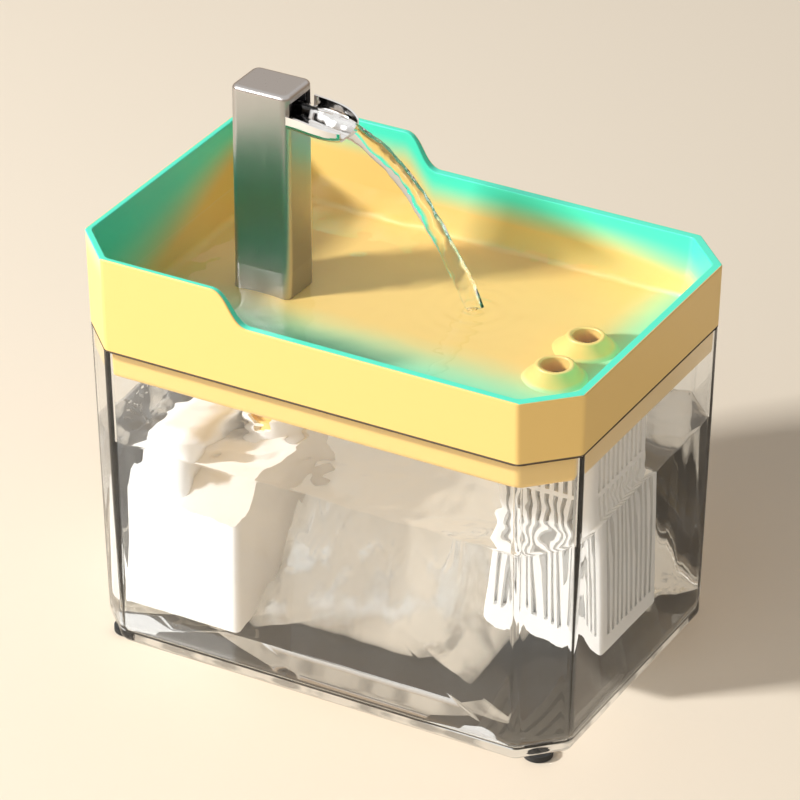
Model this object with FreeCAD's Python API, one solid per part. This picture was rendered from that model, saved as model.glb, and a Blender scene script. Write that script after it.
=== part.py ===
import FreeCAD, Part
import math
import os

# Pet water fountain: a clear tank, a drinking tray with a tower spout on top,
# a pump in its own housing and a slatted filter basket inside the tank.
# Millimetres, +Z up, origin on the table under the middle of the tank.
# +X points from the tower to the drains, -Y is the near long side.

V = FreeCAD.Vector

# Clearances
running_gap = 0.05
slip_gap = 0.3
seat_gap = 0.3
overcut = 1.0

# Tank
foot_stand = 1.5
tank_length = 200.0
tank_width = 140.5
tank_height = 124.5
tank_corner = 16.7
tank_draft = 3.1
tank_wall = 3.0
tank_base = 5.0
tank_edge_radius = 5.0
tank_heel_radius = 4.5
tank_inner_heel = 1.8

# Rubber feet
foot_radius = 5.5
foot_pocket = 1.0
foot_round = 0.5
foot_from_side = 11.0

# Tray
seal_thickness = 0.8
seal_inset = 0.3
seal_width = 2.4
rim_overhang = 1.0
rim_corner = 17.5
rim_rise_high = 37.0
rim_rise_low = 24.2
rim_wall = 2.4
rim_round = 0.5
ramp_from_tower = 16.0
ramp_length = 15.0
tray_edge_radius = 3.0
pan_depth = 12.0
pan_round = 2.6
floor_thickness = 2.2
basin_inset = 6.6
basin_fillet = 3.7
basin_corner_radius = 4.0

# Drains
drain_from_end = 32.5
drain_spacing = 24.0
drain_base_radius = 11.8
drain_top_radius = 7.3
drain_height = 11.0
drain_waist = 0.6
drain_brim = 1.0
drain_brim_round = 0.7
drain_mouth = 0.2
drain_mouth_drop = 0.5
drain_bore = 5.2
stub_wall = 1.5
stub_length = 12.0

# Tower
tower_from_end = 45.5
tower_depth = 24.0
tower_width = 19.0
tower_corner = 3.2
tower_wall = 1.2
tower_height = 93.0
tower_bevel = 1.8
socket_height = 7.0
nozzle_radius = 5.0
nozzle_bore = 3.6
nozzle_height = 16.0
pipe_bore = 6.2
pipe_wall = 1.2
seal_ring_radius = 0.5
seal_ring_drop = 4.0

# Spout lip
window_width = 15.0
window_height = 8.2
window_from_top = 3.0
lip_sheet = 1.0
lip_bend = 2.4
lip_reach = 20.0
lip_drop = 2.0
lip_root_width = 21.4
lip_tip_width = 14.0
lip_bulge = 1.5
lip_wing_root = 2.2
lip_wing_tip = 0.5
lip_tail = 6.0
lip_tail_wing = 0.4

# Channel block behind the window
liner_depth = 14.0
liner_cap = 0.6
liner_step = 1.5
liner_seat_height = 3.6
pipe_socket = 7.0
throat_gap = 0.4

# Riser spigot under the tray
spigot_root_radius = 9.3
spigot_root_length = 16.0
spigot_taper = 3.0
spigot_radius = 6.9
spigot_bore = 4.2
spigot_clearance = 1.0

# Pump housing
housing_from_end = 10.0
housing_length = 48.5
housing_y0 = -41.0
housing_y1 = 19.5
housing_stand = 1.6
housing_headroom = 4.5
housing_wall = 2.0
housing_edge_radius = 3.0
housing_rib = 2.0
dome_inset = 2.0
dome_side_inset = 3.0
dome_length = 22.0
dome_height = 23.0
dome_round = 7.0
collar_wall = 2.2
collar_height = 21.0
collar_notch = 9.0
collar_notch_width = 8.0
skirt_depth = 2.0
skirt_wall = 1.2

# Outlet sleeve
sleeve_wall = 2.4
sleeve_grip = 10.0

# Suction cups
cup_radius = 6.5
cup_stem = 1.8
cup_neck = 3.0
cup_edge = 0.4
cup_hollow = 0.7
cup_land = 1.5
cup_inset = 10.0

# Intake cover and foam
intake_height = 26.0
intake_width = 36.0
intake_lip = 3.0
intake_corner = 2.0
intake_plug_wall = 1.5
intake_margin = 4.0
intake_slot = 1.8
intake_pitch = 3.6
foam_thickness = 7.0

# Pump
pump_height = 30.0
pump_width = 34.0
pump_stand = 0.4
outlet_from_axis = 8.5
pump_y0 = -35.0
pump_volute_y = -6.0
pump_y1 = 6.0
pump_edge_radius = 3.0
pump_least_radius = 0.4
pump_wall = 1.6
well_radius = 6.3
well_wall = 1.2
well_end = -30.0
chamber_radius = 12.0
chamber_floor = -4.5
outlet_radius = 5.0
outlet_bore = 3.6
outlet_stub = 10.5
volute_cover_thickness = 2.0
intake_eye = 6.5
eye_ring = 1.4
spoke_width = 1.6
spoke_overlap = 0.8
boss_wall = 0.9
boss_root = 0.5
boss_rise = 0.6
back_plate_thickness = 2.0
back_ring_depth = 2.0
back_ring_wall = 1.1
screw_radius = 1.2
screw_head_radius = 2.2
screw_head_height = 1.2
screw_slot_depth = 0.5
screw_slot_width = 0.5
screw_slot_length = 3.0
screw_inset = 3.5

# Gland for the lead
gland_inset = 8.0
gland_radius = 2.6
gland_flange = 1.4
gland_flange_thickness = 1.2
gland_depth = 2.5
gland_bore = 1.2

# Rotor
shaft_radius = 1.0
shaft_press = 0.01
shaft_end_gap = 0.5
shaft_nose = 1.4
magnet_radius = 5.8
magnet_end_gap = 2.5
impeller_radius = 11.0
impeller_tip_gap = 0.2
impeller_hub = 4.5
impeller_width = 8.0
impeller_middle = 0.8
impeller_disc = 1.2
blade_count = 6
blade_thickness = 1.2
blade_root = 0.8
bush_radius = 2.6
bush_length = 2.2
front_bush_back = 0.6
front_bush_nose = 1.5

# Stator
stator_length = 14.0
stator_yoke = 2.5
stator_corner = 1.2
stator_seat = 4.0
pole_half = 4.0
pole_gap = 0.1
coil_margin = 0.4
coil_overhang = 2.4
coil_half = 7.5
coil_round = 2.0

# Flow dial
dial_radius = 10.0
dial_thickness = 1.2
dial_gap = 0.1
dial_hole_radius = 1.4
dial_hole_turn = 30.0
dial_tab_width = 3.0
dial_tab_reach = 2.0
dial_tab_root = 1.0

# Filter basket
basket_length = 36.0
basket_past_drain = 18.5
basket_half_width = 22.0
basket_above_floor = 17.5
basket_below_pan = 3.8
basket_wall = 1.8
basket_edge_radius = 2.5
basket_slot = 1.9
basket_pitch = 3.6
basket_floor_pitch = 5.4
basket_margin = 4.0
basket_band = 6.0
basket_rail_drop = 25.0
basket_rail_height = 3.0
lid_thickness = 2.0
lid_sleeve_wall = 1.2
lid_sleeve_depth = 5.0

# Filter cartridge
cartridge_gap = 0.8
cartridge_height = 34.0
cartridge_wall = 1.6
cartridge_least_radius = 0.5
fleece_thickness = 4.0
grid_slot = 3.0
grid_pitch = 5.0
grid_margin = 2.5
grid_side_margin = 2.0
grid_bar = 2.0

# Places that follow from the sizes above
tank_floor = foot_stand + tank_base
parting_z = foot_stand + tank_height
shoulder_z = parting_z + seal_thickness
rim_high = shoulder_z + rim_rise_high
rim_low = shoulder_z + rim_rise_low
pan_bottom = shoulder_z - pan_depth
floor_top = pan_bottom + floor_thickness
tower_x = -tank_length / 2 + tower_from_end
tower_face = tower_x + tower_depth / 2
tower_top = floor_top + tower_height
window_top = tower_top - window_from_top
window_sill = window_top - window_height
ramp_top_x = tower_x + ramp_from_tower
ramp_foot_x = ramp_top_x + ramp_length
drain_x = tank_length / 2 - drain_from_end
half_spacing = drain_spacing / 2
stub_radius = drain_bore + stub_wall
housing_bottom = tank_floor + housing_stand
pump_axis_z = housing_bottom + housing_wall + pump_stand + pump_height / 2
pump_top = pump_axis_z + pump_height / 2
housing_split = pump_top + housing_headroom
housing_x0 = -tank_length / 2 + housing_from_end
housing_x1 = housing_x0 + housing_length
dome_top = housing_split + dome_height
collar_top = housing_split + collar_height
pump_axis_x = tower_x - outlet_from_axis
outlet_top = pump_top + outlet_stub
spigot_end = outlet_top + spigot_clearance
sleeve_top = spigot_end + sleeve_grip
stator_pocket_end = pump_volute_y - stator_seat
stator_y1 = stator_pocket_end - coil_overhang - slip_gap
stator_y0 = stator_y1 - stator_length
basket_x1 = drain_x + basket_past_drain
basket_x0 = basket_x1 - basket_length
basket_bottom = tank_floor + basket_above_floor
basket_top = pan_bottom - basket_below_pan
basket_rail = basket_top - basket_rail_drop


def outline(length, width, corner):
    """Sizes of an octagon: a rectangle with its corners cut off."""
    return (length, width, corner)


def inset(shape, distance):
    """The same octagon with every side moved in by a distance."""
    length, width, corner = shape
    return (length - 2 * distance, width - 2 * distance, corner - (2 - math.sqrt(2)) * distance)


def between(low, high, share):
    """The octagon part of the way from one outline to another."""
    return tuple(a + (b - a) * share for a, b in zip(low, high))


def octagon(shape, z):
    """Closed wire of an octagon at a height."""
    length, width, corner = shape
    x, y = length / 2, width / 2
    points = []
    for sx, sy in ((1, -1), (1, 1), (-1, 1), (-1, -1)):
        side = V(sx * x, sy * (y - corner), z)
        end = V(sx * (x - corner), sy * y, z)
        points += [side, end] if sx * sy > 0 else [end, side]
    return Part.makePolygon(points + points[:1])


def frustum(low, low_z, high, high_z):
    """Solid between two octagons."""
    return Part.makeLoft([octagon(low, low_z), octagon(high, high_z)], True, True)


def upright_edges(shape, height):
    """Edges that climb at least a given height."""
    return [e for e in shape.Edges if abs(e.Vertexes[0].Z - e.Vertexes[-1].Z) > height]


def level_edges(shape, z):
    """Edges that lie flat at a height."""
    return [e for e in shape.Edges if all(abs(v.Z - z) < 1e-4 for v in e.Vertexes)
            and abs(e.BoundBox.ZLength) < 1e-3]


def box(x0, x1, y0, y1, z0, z1):
    """Plain box between two corners."""
    return Part.makeBox(x1 - x0, y1 - y0, z1 - z0, V(x0, y0, z0))


def rounded_box(x0, x1, y0, y1, z0, z1, radius):
    """Box with its four upright edges rounded."""
    body = box(x0, x1, y0, y1, z0, z1)
    return body.makeFillet(radius, upright_edges(body, (z1 - z0) / 2))


def rod(radius, start, end):
    """Cylinder from one point to another."""
    axis = end - start
    return Part.makeCylinder(radius, axis.Length, start, axis)


def pipe(outer, inner, start, end):
    """Hollow cylinder from one point to another."""
    return rod(outer, start, end).cut(rod(inner, start, end))


def turned(points, centre):
    """Solid of revolution of radius and height pairs about an upright axis."""
    wire = Part.makePolygon([V(r, 0, h) for r, h in points + points[:1]])
    solid = Part.Face(wire).revolve(V(0, 0, 0), V(0, 0, 1), 360)
    solid.translate(centre)
    return solid


def spread(low, high, pitch):
    """Evenly spaced places that fill the stretch from low to high."""
    count = max(1, int((high - low) // pitch) + 1)
    start = (low + high - (count - 1) * pitch) / 2
    return [start + i * pitch for i in range(count)]


def save(name, shape):
    """Write one named piece."""
    shape.exportStep("parts/" + name + ".step")


# Tank

tank_top_outline = outline(tank_length, tank_width, tank_corner)
tank_low_outline = inset(tank_top_outline, tank_draft)


def tank_inside(z):
    """Inner outline of the tank at a height."""
    share = (z - foot_stand) / tank_height
    return inset(between(tank_low_outline, tank_top_outline, share), tank_wall)


def foot_places():
    """Centres of the four feet."""
    x = tank_low_outline[0] / 2 - foot_from_side
    y = tank_low_outline[1] / 2 - foot_from_side
    return [(sx * x, sy * y) for sx in (-1, 1) for sy in (-1, 1)]


def make_tank():
    shell = frustum(tank_low_outline, foot_stand, tank_top_outline, parting_z)
    shell = shell.makeFillet(tank_edge_radius, upright_edges(shell, tank_height / 2))
    shell = shell.makeFillet(tank_heel_radius, level_edges(shell, foot_stand))
    hollow = frustum(tank_inside(tank_floor), tank_floor, tank_inside(parting_z), parting_z)
    inner_radius = tank_edge_radius - tank_wall
    hollow = hollow.makeFillet(inner_radius, upright_edges(hollow, tank_height / 2))
    hollow = hollow.makeFillet(tank_inner_heel, level_edges(hollow, tank_floor))
    shell = shell.cut(hollow)
    for x, y in foot_places():
        top = foot_stand + foot_pocket
        shell = shell.cut(rod(foot_radius + running_gap, V(x, y, 0), V(x, y, top)))
    return shell


def make_feet():
    pads = []
    for x, y in foot_places():
        pad = rod(foot_radius, V(x, y, 0), V(x, y, foot_stand + foot_pocket))
        pads.append(pad.makeFillet(foot_round, level_edges(pad, 0)))
    return Part.makeCompound(pads)


# Drinking tray

def rim_cutter():
    """Everything above the rim: high round the tower, an S-shaped ramp, then low."""
    reach = tank_length
    bend = (ramp_foot_x - ramp_top_x) / 2
    ramp = Part.BezierCurve()
    ramp.setPoles([V(ramp_top_x, -reach, rim_high), V(ramp_top_x + bend, -reach, rim_high),
                   V(ramp_foot_x - bend, -reach, rim_low), V(ramp_foot_x, -reach, rim_low)])
    above = rim_high + rim_wall
    edges = [ramp.toShape(),
             Part.makeLine(V(ramp_foot_x, -reach, rim_low), V(reach, -reach, rim_low)),
             Part.makeLine(V(reach, -reach, rim_low), V(reach, -reach, above)),
             Part.makeLine(V(reach, -reach, above), V(ramp_top_x, -reach, above)),
             Part.makeLine(V(ramp_top_x, -reach, above), V(ramp_top_x, -reach, rim_high))]
    return Part.Face(Part.Wire(edges)).extrude(V(0, 2 * reach, 0))


def rim_edges(shape):
    """Outer and inner edges of the rim's top faces."""
    top = [f for f in shape.Faces if f.BoundBox.ZMin > rim_low - running_gap]
    uses = [e.hashCode() for f in top for e in f.Edges]
    return [e for e in shape.Edges if uses.count(e.hashCode()) == 1]


def drain_cone(y):
    """Volcano-shaped drain with a stub below the floor."""
    top = floor_top + drain_height
    mouth = V(drain_bore + drain_mouth, 0, top - drain_mouth_drop)
    foot = V(drain_base_radius, 0, floor_top)
    waist = V((drain_base_radius + drain_top_radius) / 2 - drain_waist, 0,
              (floor_top + top) / 2 - drain_waist)
    brim = V(drain_top_radius, 0, top - drain_brim)
    flare = Part.BSplineCurve()
    flare.interpolate([foot, waist, brim])
    crown = Part.Arc(brim, V(drain_top_radius - drain_brim_round, 0, top - drain_mouth / 2), mouth).toShape()
    low = floor_top - floor_thickness / 2
    middle_top, middle_low = V(0, 0, mouth.z), V(0, 0, low)
    edges = [flare.toShape(), crown, Part.makeLine(mouth, middle_top), Part.makeLine(middle_top, middle_low),
             Part.makeLine(middle_low, V(drain_base_radius, 0, low)),
             Part.makeLine(V(drain_base_radius, 0, low), foot)]
    cone = Part.Face(Part.Wire(edges)).revolve(V(0, 0, 0), V(0, 0, 1), 360)
    cone.translate(V(drain_x, y, 0))
    stub = rod(stub_radius, V(drain_x, y, pan_bottom - stub_length), V(drain_x, y, floor_top))
    return cone.fuse(stub)


def tower_section(gap, z0, z1):
    """Rounded column inside the tower's wall, or its outside when the gap is negative."""
    x, y = tower_depth / 2 - gap, tower_width / 2 - gap
    return rounded_box(tower_x - x, tower_x + x, -y, y, z0, z1, tower_corner - gap)


def make_tray():
    rim_outline = outline(tank_length + 2 * rim_overhang, tank_width + 2 * rim_overhang, rim_corner)
    body = frustum(tank_top_outline, shoulder_z, rim_outline, rim_high)
    body = body.makeFillet(tray_edge_radius, upright_edges(body, rim_rise_high / 2))
    pan = frustum(inset(tank_inside(pan_bottom), slip_gap), pan_bottom,
                  inset(tank_inside(shoulder_z), slip_gap), shoulder_z)
    pan = pan.makeFillet(tray_edge_radius, upright_edges(pan, pan_depth / 2))
    pan = pan.makeFillet(pan_round, level_edges(pan, pan_bottom))
    body = body.fuse(pan)
    basin = frustum(inset(tank_top_outline, basin_inset), floor_top, inset(rim_outline, rim_wall), rim_high)
    basin = basin.makeFillet(basin_corner_radius, upright_edges(basin, rim_rise_high / 2))
    basin = basin.makeFillet(basin_fillet, level_edges(basin, floor_top))
    body = body.cut(basin).cut(rim_cutter())
    body = body.makeFillet(rim_round, rim_edges(body))
    for y in (-half_spacing, half_spacing):
        body = body.fuse(drain_cone(y))
    socket_top = floor_top + socket_height
    socket = tower_section(tower_wall + slip_gap, floor_top - floor_thickness / 2, socket_top)
    nozzle = rod(nozzle_radius, V(tower_x, 0, floor_top), V(tower_x, 0, floor_top + nozzle_height))
    root_end = pan_bottom - spigot_root_length
    spigot_root = rod(spigot_root_radius, V(tower_x, 0, root_end), V(tower_x, 0, floor_top))
    taper = Part.makeCone(spigot_radius, spigot_root_radius, spigot_taper,
                          V(tower_x, 0, root_end - spigot_taper))
    spigot = rod(spigot_radius, V(tower_x, 0, spigot_end), V(tower_x, 0, floor_top))
    for piece in (socket, nozzle, spigot_root, taper, spigot):
        body = body.fuse(piece)
    for y in (-half_spacing, half_spacing):
        bottom = pan_bottom - stub_length - overcut
        top = floor_top + drain_height + overcut
        body = body.cut(rod(drain_bore, V(drain_x, y, bottom), V(drain_x, y, top)))
    nozzle_top = floor_top + nozzle_height
    body = body.cut(rod(spigot_bore, V(tower_x, 0, spigot_end - overcut), V(tower_x, 0, floor_top)))
    body = body.cut(rod(nozzle_bore, V(tower_x, 0, floor_top - overcut), V(tower_x, 0, nozzle_top + overcut)))
    return body.removeSplitter()


def make_tray_seal():
    outer = octagon(inset(tank_top_outline, seal_inset), parting_z)
    inner = octagon(inset(tank_top_outline, seal_inset + seal_width), parting_z)
    return Part.Face([outer, inner]).extrude(V(0, 0, seal_thickness))


# Tower

def make_tower_shell():
    low = floor_top + seat_gap
    shell = tower_section(0, low, tower_top)
    shell = shell.makeFillet(tower_bevel, level_edges(shell, tower_top))
    shell = shell.cut(tower_section(tower_wall, low - overcut, tower_top - tower_wall - tower_bevel / 2))
    window = box(tower_x, tower_x + tower_depth, -window_width / 2, window_width / 2, window_sill - lip_sheet,
                 window_top)
    return shell.cut(window)


def lip_profile(x, z, width, wing):
    """Closed section of the spout: a shallow trough of sheet with a wing on each side."""
    half = width / 2
    bend = lip_bend

    def trough(half_width, depth, corner, top):
        left, right = -half_width, half_width
        c = corner * math.sqrt(0.5)
        floor = z + depth
        bend_z = floor + corner - c
        return [V(x, left, top), V(x, left, floor + corner), V(x, left + corner - c, bend_z),
                V(x, left + corner, floor), V(x, right - corner, floor), V(x, right - corner + c, bend_z),
                V(x, right, floor + corner), V(x, right, top)]

    top = z + bend + lip_sheet + wing
    outer = trough(half, 0, bend, top)
    inner = trough(half - lip_sheet, lip_sheet, bend - lip_sheet * 0.5, top)
    edges = []
    for pts in (outer, inner):
        edges.append([Part.makeLine(pts[0], pts[1]), Part.Arc(pts[1], pts[2], pts[3]).toShape(),
                      Part.makeLine(pts[3], pts[4]), Part.Arc(pts[4], pts[5], pts[6]).toShape(),
                      Part.makeLine(pts[6], pts[7])])
    closing = [Part.makeLine(outer[0], inner[0]), Part.makeLine(outer[7], inner[7])]
    return Part.Wire(Part.__sortEdges__(edges[0] + closing + edges[1]))


def make_spout_lip():
    """Folded chrome scoop that lies in the tower's window and widens outside it."""
    inner_width = window_width - 2 * running_gap
    sill = window_sill - lip_sheet + running_gap
    tail_ends = [lip_profile(x, sill, inner_width, lip_tail_wing)
                 for x in (tower_face - lip_tail, tower_face + running_gap)]
    tail = Part.makeLoft(tail_ends, True, True)
    stations = [(running_gap, 0.0, lip_root_width, lip_wing_root),
                (lip_reach * 0.45, lip_drop * 0.35, lip_root_width, lip_wing_root * 0.9),
                (lip_reach * 0.8, lip_drop * 0.75, (lip_root_width + lip_tip_width) / 2 + lip_bulge,
                 (lip_wing_root + lip_wing_tip) / 2),
                (lip_reach, lip_drop, lip_tip_width, lip_wing_tip)]
    scoop = Part.makeLoft([lip_profile(tower_face + dx, sill - dz, width, wing)
                           for dx, dz, width, wing in stations], True, False)
    return tail.fuse(scoop)


def make_tower_liner():
    """Black channel block behind the window, bored from below."""
    gap = tower_wall + slip_gap
    low = window_sill - liner_depth
    high = window_top - liner_step
    block = tower_section(gap, low, window_top + liner_cap)
    throat = window_width / 2 - lip_sheet - throat_gap
    socket_radius = pipe_bore + pipe_wall + running_gap
    block = block.cut(rod(socket_radius, V(tower_x, 0, low - overcut), V(tower_x, 0, low + pipe_socket)))
    block = block.cut(rod(pipe_bore - liner_step, V(tower_x, 0, low), V(tower_x, 0, high)))
    block = block.cut(box(tower_x, tower_face, -throat, throat, window_sill + lip_sheet, high))
    seat = box(tower_face - lip_tail - seat_gap, tower_face, -window_width / 2, window_width / 2,
               window_sill - lip_sheet - seat_gap, window_sill + liner_seat_height)
    return block.cut(seat)


def make_riser_pipe():
    low = floor_top + socket_height + seat_gap
    high = window_sill - liner_depth + pipe_socket - seat_gap
    return pipe(pipe_bore + pipe_wall, pipe_bore, V(tower_x, 0, low), V(tower_x, 0, high))


def make_tower_seal():
    """O-ring between the tray's nozzle and the riser pipe."""
    middle = (nozzle_radius + pipe_bore) / 2
    thick = min(seal_ring_radius, (pipe_bore - nozzle_radius) / 2 - running_gap)
    height = floor_top + nozzle_height - seal_ring_drop
    return Part.makeTorus(middle, thick, V(tower_x, 0, height), V(0, 0, 1))


# Pump housing

def make_housing_tub():
    wall = housing_wall
    tub = rounded_box(housing_x0, housing_x1, housing_y0, housing_y1, housing_bottom, housing_split,
                      housing_edge_radius)
    hollow = rounded_box(housing_x0 + wall, housing_x1 - wall, housing_y0 + wall, housing_y1 - wall,
                         housing_bottom + wall, housing_split + overcut, housing_edge_radius - wall / 2)
    x0, x1, z0, z1 = intake_frame()
    tub = tub.cut(hollow).cut(box(x0, x1, housing_y1 - 2 * wall, housing_y1 + overcut, z0, z1))
    for x, y in cup_places():
        tub = tub.cut(rod(cup_stem + running_gap, V(x, y, housing_bottom - overcut),
                          V(x, y, housing_bottom + wall + overcut)))
    rest_x, half = pump_width / 5, housing_rib / 2
    for x in (pump_axis_x - rest_x, pump_axis_x + rest_x):
        rib = box(x - half, x + half, pump_y0 + housing_rib, pump_y1 - housing_rib, housing_bottom + wall / 2,
                  pump_axis_z - pump_height / 2)
        tub = tub.fuse(rib)
    return tub.removeSplitter()


def cup_places():
    """Centres of the four suction cups."""
    xs = (housing_x0 + cup_inset, housing_x1 - cup_inset)
    ys = (housing_y0 + cup_inset, housing_y1 - cup_inset)
    return [(x, y) for x in xs for y in ys]


def make_housing_lid():
    """Cover with a rounded dome over the motor and a collar round the outlet."""
    wall = housing_wall
    plate = rounded_box(housing_x0, housing_x1, housing_y0, housing_y1, housing_split, housing_split + wall,
                        housing_edge_radius)
    x0, y0, y1 = housing_x0 + dome_inset, housing_y0 + dome_side_inset, housing_y1 - dome_side_inset
    x1 = x0 + dome_length
    dome = box(x0, x1, y0, y1, housing_split + wall / 2, dome_top)
    dome = dome.makeFillet(dome_round, upright_edges(dome, dome_height / 2) + level_edges(dome, dome_top))
    inner = box(x0 + wall, x1 - wall, y0 + wall, y1 - wall, housing_split - overcut, dome_top - wall)
    inner = inner.makeFillet(dome_round - wall,
                             upright_edges(inner, dome_height / 2) + level_edges(inner, dome_top - wall))
    bore = spigot_radius + running_gap + sleeve_wall + running_gap
    collar = rod(bore + collar_wall, V(tower_x, 0, housing_split + wall / 2), V(tower_x, 0, collar_top))
    lid = plate.fuse(dome).fuse(collar).cut(inner)
    lid = lid.cut(rod(bore, V(tower_x, 0, housing_split - overcut), V(tower_x, 0, collar_top + overcut)))
    half = collar_notch_width / 2
    lid = lid.cut(box(tower_x - half, tower_x + half, -bore - collar_wall - overcut, 0,
                      collar_top - collar_notch, collar_top + overcut))
    gap = wall + slip_gap
    skirt = rounded_box(housing_x0 + gap, housing_x1 - gap, housing_y0 + gap, housing_y1 - gap,
                        housing_split - skirt_depth, housing_split + wall / 2,
                        housing_edge_radius - (wall + slip_gap) / 2)
    lip = gap + skirt_wall
    skirt = skirt.cut(box(housing_x0 + lip, housing_x1 - lip, housing_y0 + lip, housing_y1 - lip,
                          housing_split - skirt_depth - overcut, housing_split + wall))
    return lid.fuse(skirt).removeSplitter()


def make_outlet_sleeve():
    """Soft coupling from the pump's outlet to the tray's spigot."""
    bore = spigot_radius + running_gap
    low = pump_axis_z + pump_height / 2 + seat_gap
    sleeve = rod(bore + sleeve_wall, V(tower_x, 0, low), V(tower_x, 0, sleeve_top))
    through = rod(outlet_radius + running_gap, V(tower_x, 0, low - overcut), V(tower_x, 0, sleeve_top))
    sleeve = sleeve.cut(through)
    return sleeve.cut(rod(bore, V(tower_x, 0, spigot_end - seat_gap), V(tower_x, 0, sleeve_top + overcut)))


def make_suction_cups():
    top = housing_stand
    profile = [(cup_radius, 0), (cup_radius, cup_edge), (cup_neck, top), (cup_stem, top),
               (cup_stem, top + housing_wall), (0, top + housing_wall), (0, cup_hollow),
               (cup_radius - cup_land, 0)]
    return Part.makeCompound([turned(profile, V(x, y, tank_floor)) for x, y in cup_places()])


# Intake

def intake_frame():
    """Window that the intake cover fills, as low and high X and Z."""
    middle = (housing_x0 + housing_x1) / 2
    across, up = intake_width / 2, intake_height / 2
    return (middle - across, middle + across, pump_axis_z - up, pump_axis_z + up)


def make_intake_cover():
    x0, x1, z0, z1 = intake_frame()
    low, high = housing_y1 - housing_wall, housing_y1 + housing_wall
    plate = box(x0 - intake_lip, x1 + intake_lip, housing_y1, high, z0 - intake_lip, z1 + intake_lip)
    plate = plate.makeFillet(intake_corner, [e for e in plate.Edges if e.BoundBox.YLength > housing_wall / 2])
    out, inner = slip_gap, slip_gap + intake_plug_wall
    plug = box(x0 + out, x1 - out, low, housing_y1, z0 + out, z1 - out)
    plug = plug.cut(box(x0 + inner, x1 - inner, low - overcut, housing_y1 + overcut, z0 + inner, z1 - inner))
    cover = plate.fuse(plug)
    half = intake_slot / 2
    slots = [box(x - half, x + half, housing_y1 - overcut, high + overcut, z0 + intake_margin,
                 z1 - intake_margin)
             for x in spread(x0 + intake_margin, x1 - intake_margin, intake_pitch)]
    return cover.cut(slots)


def make_intake_foam():
    x0, x1, z0, z1 = intake_frame()
    gap = slip_gap * 2
    high = housing_y1 - housing_wall
    return box(x0 + gap, x1 - gap, high - foam_thickness, high, z0 + gap, z1 - gap)


# Pump

def pump_box(y0, y1, gap=0.0):
    """Rounded block of the pump's outer section between two places along its axis."""
    x, z = pump_width / 2 - gap, pump_height / 2 - gap
    block = box(pump_axis_x - x, pump_axis_x + x, y0, y1, pump_axis_z - z, pump_axis_z + z)
    long_edges = [e for e in block.Edges if e.BoundBox.YLength > (y1 - y0) / 2]
    return block.makeFillet(max(pump_least_radius, pump_edge_radius - gap), long_edges)


def on_axis(y):
    """Point on the rotor's axis."""
    return V(pump_axis_x, y, pump_axis_z)


def screw_places():
    """Corners of the pump's face that take a screw."""
    x, z = pump_width / 2 - screw_inset, pump_height / 2 - screw_inset
    return [(pump_axis_x + sx * x, pump_axis_z + sz * z) for sx in (-1, 1) for sz in (-1, 1)]


def make_pump_body():
    shell_radius = well_radius + well_wall
    body = pump_box(pump_y0, pump_y1)
    body = body.fuse(rod(outlet_radius, V(tower_x, 0, pump_axis_z), V(tower_x, 0, outlet_top)))
    pocket = pump_box(pump_y0 - overcut, stator_pocket_end, pump_wall)
    body = body.cut(pocket.cut(rod(shell_radius, on_axis(pump_y0 - 2 * overcut), on_axis(pump_volute_y))))
    body = body.cut(rod(well_radius, on_axis(well_end), on_axis(pump_y1)))
    body = body.cut(rod(shell_radius + overcut, on_axis(pump_y0 - overcut), on_axis(well_end - well_wall)))
    body = body.cut(rod(chamber_radius, on_axis(chamber_floor), on_axis(pump_y1 + overcut)))
    body = body.cut(rod(outlet_bore, V(tower_x, 0, pump_axis_z), V(tower_x, 0, outlet_top + overcut)))
    for x, z in screw_places():
        body = body.cut(rod(screw_radius + running_gap, V(x, chamber_floor, z), V(x, pump_y1 + overcut, z)))
    return body


def make_pump_back_plate():
    plate = pump_box(pump_y0 - back_plate_thickness, pump_y0)
    gap = pump_wall + slip_gap
    ring = pump_box(pump_y0, pump_y0 + back_ring_depth, gap)
    ring = ring.cut(pump_box(pump_y0 - overcut, pump_y0 + back_ring_depth + overcut, gap + back_ring_wall))
    centre = gland_centre()
    depth = V(0, back_plate_thickness + gland_depth + overcut, 0)
    return plate.fuse(ring).cut(rod(gland_radius + running_gap, centre - depth, centre + depth))


def gland_centre():
    """Place of the lead's gland in the back plate."""
    return V(pump_axis_x - pump_width / 2 + gland_inset, pump_y0, pump_axis_z + pump_height / 2 - gland_inset)


def make_lead_gland():
    """Rubber gland where the lead enters; the lead itself is left out."""
    centre = gland_centre()
    outer = pump_y0 - back_plate_thickness

    def along(y):
        return V(centre.x, y, centre.z)

    plug = rod(gland_radius, along(outer), along(pump_y0 + gland_depth))
    flange = rod(gland_radius + gland_flange, along(outer - gland_flange_thickness), along(outer))
    bore = rod(gland_bore, along(outer - gland_flange_thickness - overcut),
               along(pump_y0 + gland_depth + overcut))
    return plug.fuse(flange).cut(bore)


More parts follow.
